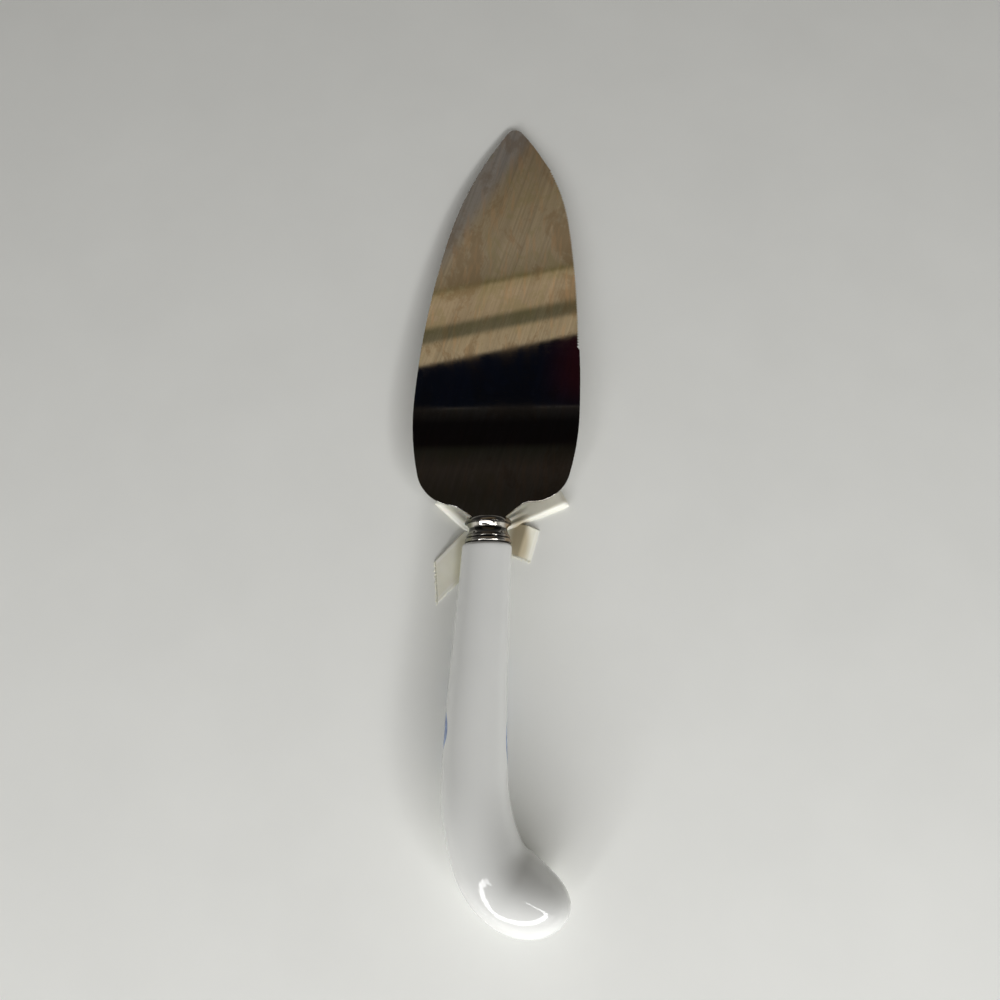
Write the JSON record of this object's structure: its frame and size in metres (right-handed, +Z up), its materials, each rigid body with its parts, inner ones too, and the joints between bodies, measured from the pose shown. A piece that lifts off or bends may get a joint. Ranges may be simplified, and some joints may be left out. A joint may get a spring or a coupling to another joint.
{
  "type": "cake server",
  "caption": "Cake server: pointed leaf-shaped polished blade serrated along one edge, turned metal collar, curled glazed porcelain handle and a small ribbon bow.",
  "frame": {"origin": "on the table, under the middle of the server's outline as seen from above", "axes": "+Y from the handle to the blade's tip, +Z up, with the back of the blade facing up as the server is put down"},
  "size_m": [0.0566, 0.2638, 0.0218],
  "materials": {
    "polished_steel": "mirror-polished sheet with fine slanting polishing lines",
    "bright_metal": "polished",
    "glazed_porcelain": "white glaze, with a painted sprig on the front",
    "cement": "plain cutler's cement",
    "ribbon": "ivory satin, edges woven, ends cut and frayed",
    "glue": "clear"
  },
  "bodies": {
    "root": {"blade": "polished_steel", "ferrule": "bright_metal", "handle": "glazed_porcelain", "handle_cement": "cement", "bow_knot": "ribbon", "bow_glue": "glue", "bow_loop_left": "ribbon", "bow_loop_right": "ribbon", "bow_tail_left": "ribbon", "bow_tail_right": "ribbon"}
  },
  "joints": []
}
